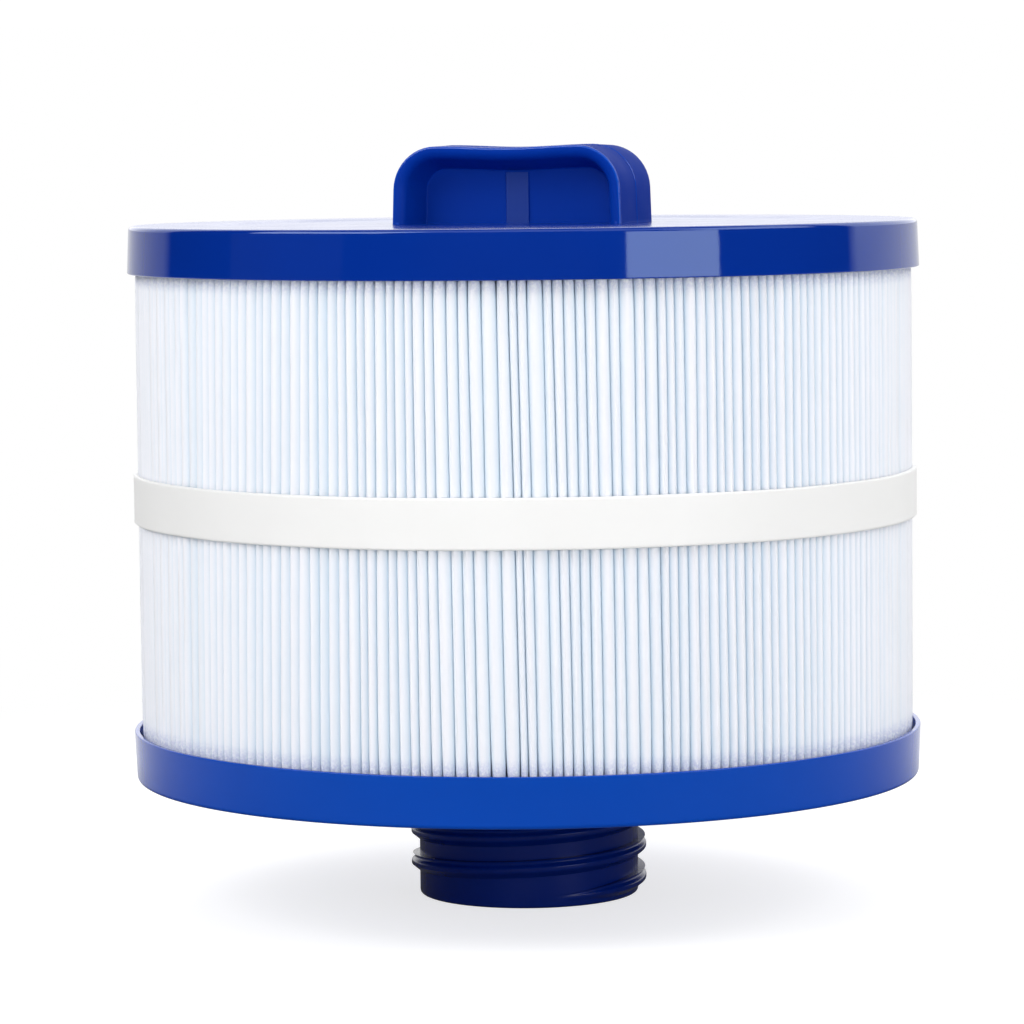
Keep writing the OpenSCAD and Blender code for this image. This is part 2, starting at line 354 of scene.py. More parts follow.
class Graph:
    """Short calls for the nodes that the materials and the world share."""

    def __init__(self, tree):
        self.nodes = tree.nodes
        self.links = tree.links

    def ramp(self, value, low, high, to_low=0.0, to_high=1.0, interpolation="LINEAR"):
        """Maps low to high onto to_low to to_high, and holds the value beyond both ends."""
        node = self.nodes.new("ShaderNodeMapRange")
        node.interpolation_type = interpolation
        node.inputs["From Min"].default_value = low
        node.inputs["From Max"].default_value = high
        node.inputs["To Min"].default_value = to_low
        node.inputs["To Max"].default_value = to_high
        self.links.new(value, node.inputs["Value"])
        return node.outputs["Result"]

    def math(self, operation, first, second):
        """A calculation with two values, each given as a number or as another node's output."""
        node = self.nodes.new("ShaderNodeMath")
        node.operation = operation
        for socket, value in enumerate((first, second)):
            if isinstance(value, float):
                node.inputs[socket].default_value = value
            else:
                self.links.new(value, node.inputs[socket])
        return node.outputs["Value"]

    def length(self, vector):
        """Length of a vector."""
        node = self.nodes.new("ShaderNodeVectorMath")
        node.operation = "LENGTH"
        self.links.new(vector, node.inputs[0])
        return node.outputs["Value"]

    def reach(self, vector, direction):
        """How far a vector goes in a fixed direction."""
        node = self.nodes.new("ShaderNodeVectorMath")
        node.operation = "DOT_PRODUCT"
        self.links.new(vector, node.inputs[0])
        node.inputs[1].default_value = direction
        return node.outputs["Value"]

    def upright(self, vector):
        """The upright part of a vector."""
        node = self.nodes.new("ShaderNodeSeparateXYZ")
        self.links.new(vector, node.inputs["Vector"])
        return node.outputs["Z"]

    def glow(self, strength=None):
        """White light, of strength 1 or of another node's output."""
        node = self.nodes.new("ShaderNodeEmission")
        if strength:
            self.links.new(strength, node.inputs["Strength"])
        return node.outputs["Emission"]

    def blend(self, factor, first, second):
        """Blends two shaders."""
        node = self.nodes.new("ShaderNodeMixShader")
        self.links.new(factor, node.inputs["Fac"])
        self.links.new(first, node.inputs[1])
        self.links.new(second, node.inputs[2])
        return node.outputs["Shader"]


class Shader(Graph):
    """A material around one Principled shader, with short calls for its patterns."""

    def __init__(self, name, **sockets):
        self.material = bpy.data.materials.new(name)
        self.material.use_nodes = True
        super().__init__(self.material.node_tree)
        self.main = self.nodes["Principled BSDF"]
        for socket, value in sockets.items():
            self.main.inputs[socket.replace("_", " ")].default_value = value
        self.place = self.nodes.new("ShaderNodeTexCoord").outputs["Object"]

    def stretched(self, x, y, z):
        """The object's coordinates, scaled along each axis."""
        mapping = self.nodes.new("ShaderNodeMapping")
        mapping.inputs["Scale"].default_value = (x, y, z)
        self.links.new(self.place, mapping.inputs["Vector"])
        return mapping.outputs["Vector"]

    def height(self):
        """Height above the floor."""
        return self.upright(self.place)

    def radius(self):
        """Distance from the axis."""
        return self.length(self.stretched(1, 1, 0))

    def noise(self, scale, detail=2.0, roughness=0.5, place=None):
        node = self.nodes.new("ShaderNodeTexNoise")
        node.inputs["Scale"].default_value = scale
        node.inputs["Detail"].default_value = detail
        node.inputs["Roughness"].default_value = roughness
        self.links.new(place or self.place, node.inputs["Vector"])
        return node.outputs["Fac"]

    def mix(self, factor, first, second):
        """Blends two colours, each given as numbers or as another node's output."""
        node = self.nodes.new("ShaderNodeMix")
        node.data_type = "RGBA"
        self.links.new(factor, node.inputs["Factor"])
        for socket, value in (("A", first), ("B", second)):
            if isinstance(value, tuple):
                node.inputs[socket].default_value = (*value, 1)
            else:
                self.links.new(value, node.inputs[socket])
        return node.outputs["Result"]

    def colour(self, output):
        self.links.new(output, self.main.inputs["Base Color"])

    def roughness(self, output):
        self.links.new(output, self.main.inputs["Roughness"])

    def bump(self, height, depth, after=None):
        """Raises the surface by height times depth metres. Returns the bumped normal."""
        node = self.nodes.new("ShaderNodeBump")
        node.inputs["Strength"].default_value = 1.0
        node.inputs["Distance"].default_value = depth
        self.links.new(height, node.inputs["Height"])
        if after:
            self.links.new(after, node.inputs["Normal"])
        self.links.new(node.outputs["Normal"], self.main.inputs["Normal"])
        return node.outputs["Normal"]


def moulded_blue(name, deep, light, gloss, specular, tint=(1, 1, 1), face_gloss=None):
    """Injection-moulded plastic: slight colour drift, faint handling haze, orange-peel waves."""
    shader = Shader(name, IOR=1.49)
    shader.main.inputs["Specular IOR Level"].default_value = specular
    shader.main.inputs["Specular Tint"].default_value = (*tint, 1)
    shader.colour(shader.mix(shader.noise(35, 3), deep, light))
    haze = shader.ramp(shader.noise(60, 3), 0.3, 0.75, 1.0, 1.4)
    if face_gloss:
        # A cap's face is duller than its wall
        wall = shader.ramp(shader.radius(), RIM_R - 1.9 * MM, RIM_R - 1.0 * MM, face_gloss, gloss)
        shader.roughness(shader.math("MULTIPLY", haze, wall))
    else:
        shader.roughness(shader.math("MULTIPLY", haze, float(gloss)))
    peel = shader.bump(shader.noise(90, 1), 0.03 * MM)
    shader.bump(shader.noise(2500, 2), 0.002 * MM, peel)
    return shader.material


def filter_fabric():
    """Spun-bonded polyester: white fibres matted together, painted bluer and darker deeper in the folds
    as painted shade.
    """
    shader = Shader("filter_fabric", Roughness=0.85)
    shader.main.inputs["Specular IOR Level"].default_value = 0.25
    shader.main.inputs["Sheen Weight"].default_value = 0.15
    shader.main.inputs["Sheen Roughness"].default_value = 0.5
    fibres = shader.noise(1400, 4, 0.65, shader.stretched(1, 1, 0.35))
    clouds = shader.math("ADD", shader.math("MULTIPLY", fibres, 0.6), shader.noise(110, 3))
    # Painted shade: the deeper the sheet lies below its outer ridges, the bluer and darker it is
    # painted, varied at random by the fibre clouds
    depth = shader.ramp(shader.radius(), TIP_R - 1.7 * MM, TIP_R - 0.25 * MM)
    tint = shader.math("MULTIPLY", depth, shader.ramp(clouds, 0.5, 1.0, 0.85, 1.0))
    fold_shaded_fabric = shader.mix(tint, (0.745, 0.85, 0.945), (0.925, 0.932, 0.982))

    # Next to both caps the fibres have drawn up a little of the resin, in blotches
    height = shader.height()
    low = shader.ramp(height, bottom_cap_high.z, bottom_cap_high.z + WICK_H, 1.0, 0.0)
    high = shader.ramp(height, top_cap_low.z - WICK_H, top_cap_low.z)
    blotches = shader.ramp(shader.noise(1300, 4, 0.6), 0.36, 0.6)
    wicked = shader.math("MULTIPLY", shader.math("MAXIMUM", low, high), blotches)
    shader.colour(shader.mix(wicked, fold_shaded_fabric, (0.62, 0.66, 0.84)))
    shader.bump(fibres, 0.06 * MM)
    return shader.material


def strap_plastic():
    """Smooth white polyester strap with a faint lengthwise grain."""
    shader = Shader("strap_plastic", IOR=1.5)
    grain = shader.noise(900, 3, 0.5, shader.stretched(0.2, 0.2, 1))
    shader.colour(shader.mix(shader.noise(70, 3), (0.905, 0.905, 0.895), (0.93, 0.93, 0.925)))
    shader.roughness(shader.ramp(grain, 0.3, 0.7, 0.42, 0.55))
    shader.bump(grain, 0.01 * MM)
    return shader.material


def core_plastic():
    """Off-white moulded polypropylene, slightly waxy."""
    shader = Shader("core_plastic", IOR=1.49)
    shader.colour(shader.mix(shader.noise(60, 3), (0.76, 0.77, 0.77), (0.83, 0.84, 0.85)))
    shader.roughness(shader.ramp(shader.noise(300, 3), 0.3, 0.7, 0.35, 0.5))
    shader.bump(shader.noise(1200, 2), 0.01 * MM)
    return shader.material


def cast_resin():
    """Cast blue polyurethane with small bubbles and a soft gloss."""
    shader = Shader("cast_resin", IOR=1.5)
    shader.colour(shader.mix(shader.noise(90, 4), (0.008, 0.035, 0.24), (0.015, 0.055, 0.34)))
    shader.roughness(shader.ramp(shader.noise(150, 3), 0.3, 0.7, 0.28, 0.45))
    bubbles = shader.nodes.new("ShaderNodeTexVoronoi")
    bubbles.inputs["Scale"].default_value = 450
    shader.links.new(shader.place, bubbles.inputs["Vector"])
    shader.bump(shader.ramp(bubbles.outputs["Distance"], 0.0, 0.25), 0.08 * MM)
    return shader.material


def melted_glue():
    """Ivory hot-melt glue."""
    shader = Shader("melted_glue", IOR=1.48)
    shader.colour(shader.mix(shader.noise(200, 3), (0.76, 0.72, 0.6), (0.85, 0.82, 0.72)))
    shader.roughness(shader.ramp(shader.noise(400, 2), 0.3, 0.7, 0.25, 0.4))
    shader.bump(shader.noise(500, 3), 0.05 * MM)
    return shader.material


# ---------------------------------------------------------------- pieces


def cap_profile(height, centre):
    """Closed (radius, depth) outline of a cap, its depth counted from the closed face."""
    face_r = RIM_R - CAP_DRAFT
    dish_r = face_r - DISH_RING_W
    plate_r = RIM_R - CAP_WALL - CAP_DRAFT * (1 - CAP_PLATE / height)
    return filleted(
        [
            (centre, DISH_DEPTH, 0),
            (dish_r - DISH_STEP_W, DISH_DEPTH, DISH_FILLET_R),
            (dish_r, 0, DISH_FILLET_R),
            (face_r, 0, CAP_EDGE_R),
            (RIM_R, height, CAP_LIP_R),
            (RIM_R - CAP_WALL, height, CAP_LIP_R),
            (plate_r, CAP_PLATE, CAP_LIP_R),
            (centre, CAP_PLATE, 0),
        ],
        steps=8,
    )


def cap_mesh(height, centre, face_z, up):
    """Vertices and faces of a cap whose closed face is at face_z and looks up or down."""
    side = -1 if up else 1
    profile = [(r, face_z + side * depth) for r, depth in cap_profile(height, centre)]
    return revolve_mesh(profile, CAP_SEGMENTS)


def rounded_box(name, half_x, half_y, low, high, radius, chamfer=0.0):
    """A closed block with rounded upright corners and an optional chamfer on its top edge."""
    levels = [(low, 0), (high - chamfer, 0)]
    if chamfer:
        levels.append((high, chamfer))
    steps = 8
    verts = []
    for z, inset in levels:
        for quarter in range(4):
            sx = 1 if quarter in (0, 3) else -1
            sy = 1 if quarter in (0, 1) else -1
            for k in range(steps + 1):
                a = math.pi / 2 * (quarter + k / steps)
                reach = radius - inset
                verts.append(
                    (
                        sx * (half_x - radius) + reach * math.cos(a),
                        sy * (half_y - radius) + reach * math.sin(a),
                        z,
                    )
                )
    columns = 4 * (steps + 1)
    faces = grid_faces(len(levels), columns, wrap=True)
    faces.append(tuple(range(columns)))
    top = (len(levels) - 1) * columns
    faces.append(tuple(range(top, top + columns)))
    return make_piece(name, verts, faces)


def make_top_cap(blue):
    """The cap with the window that the grip stands in."""
    height = TOP_FACE - top_cap_low.z
    cap = make_piece("top_cap_shell", *cap_mesh(height, 0, TOP_FACE, True), materials=[blue])
    window = rounded_box(
        "window_tool",
        GRIP_W / 2 + PASS_GAP,
        GRIP_T / 2 + PASS_GAP,
        TOP_FACE - 2 * CAP_PLATE,
        TOP_FACE + CAP_PLATE,
        BLOCK_CORNER_R,
    )
    boolean(cap, window, "DIFFERENCE")
    weight_normals(cap)
    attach(cap, "root")
    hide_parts("top_cap")


def make_bottom_cap(blue):
    """The lower cap, open in the middle where the outlet's neck passes through."""
    height = bottom_cap_high.z - BOTTOM_FACE
    shell = cap_mesh(height, OUTLET_R + PASS_GAP, BOTTOM_FACE, False)
    cap = make_piece("bottom_cap_shell", *shell, materials=[blue])
    weight_normals(cap)
    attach(cap, "root")
    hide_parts("bottom_cap")


def grip_columns(reach):
    """Places across the grip's flat middle, from -reach to reach, with the strip's edges in them."""
    flat = STRIP_W / 2
    step = flat + STRIP_EDGE_W
    outer = [reach + (step - reach) * k / MIDDLE_STEPS for k in range(MIDDLE_STEPS + 1)]
    inner = [flat * (1 - k / 2) for k in range(3)]
    half = outer + inner
    return [-x for x in half] + half[-2::-1]


def grip_outline(inset, base_z):
    """Arch outline of the grip, shrunk by inset: up the left side, across the top, down the right."""
    radius = max(GRIP_LEAST_R, GRIP_CORNER_R - inset)
    top = grip_high.z - inset
    half = GRIP_W / 2 - inset
    centre_z = top - radius
    rise = centre_z - base_z
    centre_x = half - (radius + rise * math.sin(GRIP_LEAN)) / math.cos(GRIP_LEAN)
    start_x = centre_x + radius * math.cos(GRIP_LEAN)
    start_z = centre_z + radius * math.sin(GRIP_LEAN)
    right = []
    for k in range(SIDE_STEPS):
        share = k / SIDE_STEPS
        right.append((half + (start_x - half) * share, base_z + (start_z - base_z) * share))
    for k in range(CORNER_STEPS):
        a = GRIP_LEAN + (math.pi / 2 - GRIP_LEAN) * k / CORNER_STEPS
        right.append((centre_x + radius * math.cos(a), centre_z + radius * math.sin(a)))
    left = [(-x, z) for x, z in right]
    across = []
    for x in grip_columns(centre_x):
        dip = GRIP_DIP * 0.5 * (1 + math.cos(math.pi * x / centre_x))
        across.append((x, top - dip))
    return left + across + right[::-1]


def grip_section():
    """Half section of the arch's wall as (inset, distance from the parting plane) points."""
    face = GRIP_T / 2
    ridge = PARTING_RIDGE
    return [(0, 0), (ridge, ridge)] + filleted(
        [
            (1.1 * ridge, 2 * ridge, 0),
            (0.6 * GRIP_BULGE, face * 0.55, GRIP_BULGE_R),
            (GRIP_BULGE, face, RIM_OUTER_R),
            (POCKET_RIM, face, RIM_INNER_R),
            (POCKET_INSET, face - POCKET_DEPTH, POCKET_FILLET_R),
            (POCKET_INSET + POCKET_LEDGE, face - POCKET_DEPTH, 0),
        ],
        steps=7,
    )


def pocket_floor(outline, y, side):
    """Points of a pocket's floor inside its innermost outline, keyed by row and column."""
    rows = SIDE_STEPS + CORNER_STEPS
    count = len(outline) - 2 * rows
    left = outline[:rows]
    top = outline[rows : rows + count]
    flat = STRIP_W / 2
    step = flat + STRIP_EDGE_W
    points = {}
    for r in range(rows):
        reach = -left[r][0]
        blend = (r / rows) ** 3
        for c in range(1, count - 1):
            x = top[c][0]
            raised = STRIP_H if abs(x) < flat + TINY else 0
            if abs(x) > step + TINY:
                out = (abs(x) - step) / (top[-1][0] - step)
                x = math.copysign(step + out * (reach - step), x)
            z = left[r][1] + (top[c][1] - top[0][1]) * blend
            points[(r, c)] = (x, side * (y + raised), z)
    return points, rows, count


def add_pocket_floor(verts, faces, outline, y, side, first):
    """Closes a pocket, whose outline's vertices start at first. Returns the strip's faces and the
    floor's lowest row of vertices."""
    floor, rows, count = pocket_floor(outline, y, side)
    keys = {}
    for key, point in floor.items():
        keys[key] = len(verts)
        verts.append(point)
    for r in range(rows):
        keys[(r, 0)] = first + r
        keys[(r, count - 1)] = first + len(outline) - 1 - r
    for c in range(count):
        keys[(rows, c)] = first + rows + c
    strip_faces = []
    for r in range(rows):
        for c in range(count - 1):
            quad = (keys[(r, c)], keys[(r, c + 1)], keys[(r + 1, c + 1)], keys[(r + 1, c)])
            if all(abs(verts[v][0]) < STRIP_W / 2 + TINY for v in quad):
                strip_faces.append(len(faces))
            faces.append(quad)
    return strip_faces, [keys[(0, c)] for c in range(count)]


def make_arch(finishes):
    """The grip's arch, in one wall from the back pocket's floor to the front pocket's floor."""
    base_z = TOP_FACE - DISH_DEPTH - ARCH_BURY
    section = grip_section()
    outlines = [grip_outline(inset, base_z) for inset, _ in section]
    columns = len(outlines[0])
    middle = len(section) - 1
    loops = [(outlines[k], section[k][1]) for k in range(middle, 0, -1)]
    loops += [(outlines[k], -section[k][1]) for k in range(middle + 1)]
    verts = []
    for outline, y in loops:
        verts += [(x, y, z) for x, z in outline]
    faces = grid_faces(len(loops), columns)

    front = (len(loops) - 1) * columns
    floor_y = section[-1][1]
    back_strip, back_row = add_pocket_floor(verts, faces, outlines[-1], floor_y, 1, 0)
    front_strip, front_row = add_pocket_floor(verts, faces, outlines[-1], floor_y, -1, front)

    # Underside of the arch: its two legs and the web between them
    left_leg = [k * columns for k in range(len(loops))]
    right_leg = [k * columns + columns - 1 for k in range(len(loops))]
    faces.append(tuple(left_leg + front_row[1:-1] + right_leg[::-1] + back_row[-2:0:-1]))

    arch = make_piece("grip", verts, faces, WIDE_CREASE, finishes)
    for f in back_strip + front_strip:
        arch.data.polygons[f].material_index = SATIN

    # The wall between the two rims is textured; its parting line and the rims' edges are glossier and
    # painted lighter blue as a painted highlight
    for loop in range(len(loops) - 1):
        out = min(abs(loop - middle), abs(loop + 1 - middle))
        if out < GRIP_TEXTURE_LOOPS + GRIP_EDGE_LOOPS:
            finish = TEXTURED if 0 < out < GRIP_TEXTURE_LOOPS else GLOSS_AND_HIGHLIGHT
            for c in range(columns - 1):
                arch.data.polygons[loop * (columns - 1) + c].material_index = finish
    return arch


def make_grip(blue, satin, textured, gloss_and_highlight):
    """The arch-shaped grip with its two finger pockets, on its base block and flange."""
    arch = make_arch([blue, satin, textured, gloss_and_highlight])
    block = rounded_box(
        "block",
        GRIP_W / 2,
        GRIP_T / 2,
        grip_low.z + BLOCK_START_H,
        TOP_FACE - DISH_DEPTH,
        BLOCK_CORNER_R,
        BLOCK_CHAMFER,
    )
    flange = rounded_box(
        "flange_tool",
        grip_high.x,
        grip_high.y,
        grip_low.z,
        TOP_FACE - CAP_PLATE,
        GRIP_FLANGE_CORNER_R,
        GRIP_FLANGE_CHAMFER,
    )
    boolean(arch, block, "UNION", WIDE_CREASE)
    boolean(arch, flange, "UNION", WIDE_CREASE)
    weight_normals(arch)
    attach(arch, "root")
    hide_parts("handle")


def make_outlet(painted_shade_blue):
    """The hollow neck with its flange and collar, and the coarse thread round it."""
    plate_top = BOTTOM_FACE + CAP_PLATE
    flange_top = plate_top + FLANGE_T
    edge = OUTLET_FILLET_R

    # Rings of vertices up the neck keep its faces short, where the thread is joined to it
    rings = [(OUTLET_R, OUTLET_RING_H * k, 0) for k in range(1, 14)]
    profile = filleted(
        [
            (BORE_R, 0.5 * flange_top, 0),
            (BORE_R, 0, edge),
            (OUTLET_R, 0, OUTLET_EDGE_R),
            *rings,
            (OUTLET_R, plate_top, edge),
            (OUTLET_FLANGE_R, plate_top, edge),
            (OUTLET_FLANGE_R, flange_top, edge),
            (COLLAR_R, flange_top, edge),
            (COLLAR_R, OUTLET_TOP, edge),
            (COLLAR_R - COLLAR_WALL, OUTLET_TOP, edge),
            (COLLAR_R - COLLAR_WALL, flange_top, edge),
            (BORE_R, flange_top, 1 * MM),
            (BORE_R, 0.5 * flange_top, 0),
        ],
        steps=6,
    )[:-1]
    neck = make_piece("outlet_neck", *revolve_mesh(profile, OUTLET_SEGMENTS), materials=[painted_shade_blue])
    boolean(neck, make_thread(), "UNION")
    weight_normals(neck)
    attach(neck, "root")
    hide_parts("threaded_outlet")


def thread_section():
    """Outline of the thread's ridge as (height over the neck, place along the axis) points."""
    root = THREAD_ROOT_W / 2
    crest = THREAD_CREST_W / 2
    rise = THREAD_R - OUTLET_R
    surface = filleted(
        [
            (-1, -root, 0),
            (0, -root, THREAD_FILLET_R),
            (rise, -crest, THREAD_FILLET_R),
            (rise, crest, THREAD_FILLET_R),
            (0, root, THREAD_FILLET_R),
            (1, root, 0),
        ],
        steps=5,
    )[1:-1]
    return [(-THREAD_BURY, -root)] + surface + [(-THREAD_BURY, root)]


def make_thread():
    """A right-hand ridge with a rounded crest, which narrows and sinks into the neck at both ends."""
    section = thread_section()
    steps = round(THREAD_TURNS * THREAD_STEPS)
    verts = []
    for s in range(steps + 1):
        share = min(1, (min(s, steps - s) + 0.5) / THREAD_RUNOUT_STEPS)
        share = share * share * (3 - 2 * share)
        a = THREAD_START_A + TAU * s / THREAD_STEPS
        z = THREAD_START_H + THREAD_PITCH * s / THREAD_STEPS
        for out, along in section:
            r = OUTLET_R + (out * share if out > 0 else out)
            w = along * (0.4 + 0.6 * share)
            verts.append((r * math.cos(a), r * math.sin(a), z + w))
    columns = len(section)
    faces = grid_faces(steps + 1, columns, wrap=True)
    faces.append(tuple(range(columns)))
    faces.append(tuple(range(steps * columns, (steps + 1) * columns)))
    return make_piece("thread_tool", verts, faces)


def fold_edges(rng):
    """Angles of the gaps between the pleats' outer folds, unevenly spread as on a packed sheet."""
    widths = []
    for i in range(PLEATS):
        unruly = sum(math.exp(-(((i / PLEATS - at) / UNRULY_REACH) ** 2)) for at in UNRULY)
        width = 1 + (FOLD_SPREAD + UNRULY_SPREAD * unruly) * rng.gauss(0, 1)
        if rng.random() < WIDER_CHANCE + UNRULY_CHANCE * unruly:
            width += WIDER_BY
        widths.append(min(FOLD_WIDEST, max(FOLD_NARROWEST, width)))
    total = sum(widths)
    edges = [math.pi]
    for width in widths:
        edges.append(edges[-1] + TAU * width / total)
    return edges


def pleat_rows():
    """Heights, over the sheet's lower edge, of its rows of vertices: closer near both its ends."""
    ends = [0, 1.5, 5, 9, 15, 24, 36, 48]
    band = [(band_low.z - sheet_low.z) / MM - 1.5, (band_high.z - sheet_low.z) / MM + 1.5]
    height = SHEET_H / MM
    rows = ends + band + [height - e for e in ends]
    return sorted(r * MM for r in rows)


def fold_slants(edges):
    """Sideways drop, over the sheet's height, of the gap at each of the given angles."""
    slant = np.zeros(len(edges))
    for azimuth, drop in SLANTS:
        off = edges - (VIEW_AZIMUTH - math.pi / 2 + math.radians(azimuth))
        slant += drop * np.exp(-((np.angle(np.exp(1j * off)) / SLANT_REACH) ** 2))
    return slant


def fold_skews(edges, rng):
    """How far each fold lies over to one side, as a share of its half width."""
    skew = np.array([rng.gauss(0, FOLD_LEAN_SPREAD) for _ in range(PLEATS)])
    skew -= FOLD_LEAN * np.cos(edges[:-1] - FOLD_LEAN_A)
    return np.clip(skew, -FOLD_LEAN_MOST, FOLD_LEAN_MOST)


def fold_gaps(rng):
    """Widths of the gaps between neighbouring folds."""
    gaps = np.array([rng.uniform(*USUAL_GAP) for _ in range(PLEATS + 1)])
    for i in range(PLEATS):
        if rng.random() < WIDE_GAP_SHARE:
            gaps[i] = rng.uniform(*WIDE_GAP)
    gaps[-1] = gaps[0]
    return gaps


def outer_fold(left, right, skew, setback, near_end):
    """(angle, radius) points of one outer fold between its two flanks' angles."""
    middle = (left + right) / 2
    half = (right - left) / 2 * TIP_R * (1 - PINCH_SHARE * near_end)
    top_r = TIP_R - SHEET_T / 2 - setback * TIP_SETBACK - PINCH_DEPTH * near_end
    points = []
    for place in TIP_PLACES:
        across = skew + place * (1 - skew if place > 0 else 1 + skew)
        drop = TIP_SLOPE * abs(place) ** 1.5 + TIP_SHOULDER * abs(place) ** 8
        points.append((middle + half * across / TIP_R, top_r - drop))
    return points


def centreline(rows, rng):
    """Middle of the folded sheet: an array of rows by points by (x, y, z)."""
    edges = np.array(fold_edges(rng))
    roots = math.pi + TAU * np.arange(PLEATS + 1) / PLEATS
    phase = np.array([rng.uniform(0, TAU) for _ in range(PLEATS + 1)])
    lean = np.array([rng.gauss(0, 1) for _ in range(PLEATS + 1)])
    setback = np.array([abs(rng.gauss(0, 1)) for _ in range(PLEATS)])
    skew = fold_skews(edges, rng)
    gaps = fold_gaps(rng)
    slant = fold_slants(edges)
    lean[-1] = lean[0]
    phase[-1] = phase[0]
    root_r = ROOT_R + SHEET_T / 2
    root_half_a = (ROOT_FOLD_W - SHEET_T) / 2 / ROOT_R
    shape = []
    for z in rows:
        share = z / SHEET_H
        near_end = math.exp(-min(z, SHEET_H - z) / PINCH_H)
        sway = FOLD_SWAY * lean * (share - 0.5) * 2 + FOLD_WAVE * np.sin(phase + 5 * share)
        at = edges + (sway * (1 - near_end) + slant * (0.5 - share)) / TIP_R
        flank = (SHEET_T + gaps) / 2 / TIP_R
        ring = []
        for i in range(PLEATS):
            # The inner folds are rounded, except at the seam, where the sheet ends
            last = i == PLEATS - 1
            ring.append((roots[i] + root_half_a, root_r + (ROOT_ROUNDING if i else 0)))
            ring += outer_fold(at[i] + flank[i], at[i + 1] - flank[i + 1], skew[i], setback[i], near_end)
            ring.append((roots[i + 1] - root_half_a, root_r + (0 if last else ROOT_ROUNDING)))
            if not last:
                ring.append((roots[i + 1], root_r))
        angle, radius = np.array(ring).T
        height = np.full(len(ring), sheet_low.z + z)
        shape.append(np.stack([radius * np.cos(angle), radius * np.sin(angle), height], axis=1))
    return np.array(shape)


def make_sheet(fabric):
    """The pleated filter sheet: one folded strip with a real thickness, open at its side seam."""
    rng = random.Random(11)
    rows = pleat_rows()
    middle = centreline(rows, rng)
    along = np.gradient(middle, axis=1)
    across = np.stack([along[:, :, 1], -along[:, :, 0]], axis=2)
    across /= np.linalg.norm(across, axis=2, keepdims=True)
    outer = middle.copy()
    inner = middle.copy()
    outer[:, :, :2] += across * SHEET_T / 2
    inner[:, :, :2] -= across * SHEET_T / 2
    ring = np.concatenate([outer, inner[:, ::-1]], axis=1)
    count, columns = ring.shape[:2]
    faces = grid_faces(count, columns, wrap=True)
    half = columns // 2
    for row in (0, count - 1):
        first = row * columns
        for c in range(half - 1):
            far = columns - 1 - c
            faces.append((first + c, first + c + 1, first + far - 1, first + far))
    sheet = make_piece("pleats", ring.reshape(-1, 3).tolist(), faces, FOLD_CREASE, [fabric])
    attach(sheet, "root")
    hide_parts("pleated_sheet")


def lap_step(along):
    """Share of the overlap's rise at a place along the band, counted from the overlap's middle."""
    if abs(along) < LAP_W / 2:
        return 1.0
    if 0 < along - LAP_W / 2 < LAP_RAMP_W:
        return 0.5 + 0.5 * math.cos(math.pi * (along - LAP_W / 2) / LAP_RAMP_W)
    return 0.0


def weld_dimple(along, height, half):
    """Depth of the weld's pattern of dimples, inside a plain margin round the overlap."""
    if abs(along) >= LAP_W / 2 - 3 * MM or abs(height) >= half - 2 * MM:
        return 0.0
    u = math.cos(TAU * along / DIMPLE_W)
    v = math.cos(TAU * height / DIMPLE_H)
    return DIMPLE_DEPTH * max(0.0, min(1.0, (u + v - 0.9) * 2))


def band_angles():
    """Angles of the band's columns of vertices: close together near the overlap."""
    angles = []
    a = 0.0
    while a < TAU:
        angles.append(a)
        near_lap = abs(a - math.pi / 2) * BAND_OUTER_R < LAP_W / 2 + 6 * MM
        a += (0.35 * MM if near_lap else 1.6 * MM) / BAND_OUTER_R
    return angles


def make_band(strap):
    """The strap round the pleats, with a welded overlap at the back."""
    angles = band_angles()
    edge = 0.3 * MM
    half = (band_high.z - band_low.z) / 2
    middle = (band_high.z + band_low.z) / 2
    levels = 28
    verts = []
    for a in angles:
        along = (a - math.pi / 2) * BAND_OUTER_R
        wave = 0.05 * MM * math.sin(5 * a + 1) + 0.03 * MM * math.sin(13 * a)
        outer = BAND_OUTER_R + LAP_RISE * lap_step(along)
        ring = [(BAND_INNER_R, middle - half + wave), (outer - edge, middle - half + wave)]
        for k in range(levels + 1):
            height = (-1 + 2 * k / levels) * (half - edge)
            ring.append((outer - weld_dimple(along, height, half), middle + height + wave))
        ring += [(outer - edge, middle + half + wave), (BAND_INNER_R, middle + half + wave)]
        for r, z in ring:
            verts.append((r * math.cos(a), r * math.sin(a), z))
    columns = levels + 5
    rows = len(angles)
    faces = grid_faces(rows, columns, wrap=True)
    last = (rows - 1) * columns
    for c in range(columns):
        n = (c + 1) % columns
        faces.append((last + c, last + n, n, c))
    band = make_piece("band", verts, faces, WIDE_CREASE, [strap])
    weight_normals(band)
    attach(band, "root")
    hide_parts("pleat_band")


def dress_node(node, mat):
    """Gives a CAD node that stays in view its finish."""
    mesh = frame["nodes"][node].data
    mesh.materials.clear()
    mesh.materials.append(mat)


# ----------------------------------------------------------------- studio


def turned(azimuth, distance, height):
    """A point round the object. Azimuth counts to the camera's right of the camera."""
    a = VIEW_AZIMUTH + math.radians(azimuth)
    return Vector((distance * math.sin(a), -distance * math.cos(a), height))


def softbox(name, azimuth, elevation, distance, width, height, radiance, tilt=0.0, gloss=True):
    """A rectangular lamp that looks at the cartridge's middle and shines with a given radiance."""
    target = Vector((0, 0, (cad_low.z + cad_high.z) / 2))
    e = math.radians(elevation)
    place = turned(azimuth, distance * math.cos(e), target.z + distance * math.sin(e))
    lamp = bpy.data.lights.new(name, "AREA")
    lamp.shape = "RECTANGLE"
    lamp.size = width
    lamp.size_y = height
    lamp.energy = radiance * math.pi * width * height
    obj = place_in_scene(name, lamp)
    obj.location = place
    aim = (target - place).to_track_quat("-Z", "Y")
    aim.rotate(Matrix.Rotation(math.radians(tilt), 3, (target - place).normalized()))
    obj.rotation_mode = "QUATERNION"
    obj.rotation_quaternion = aim
    obj.visible_glossy = gloss


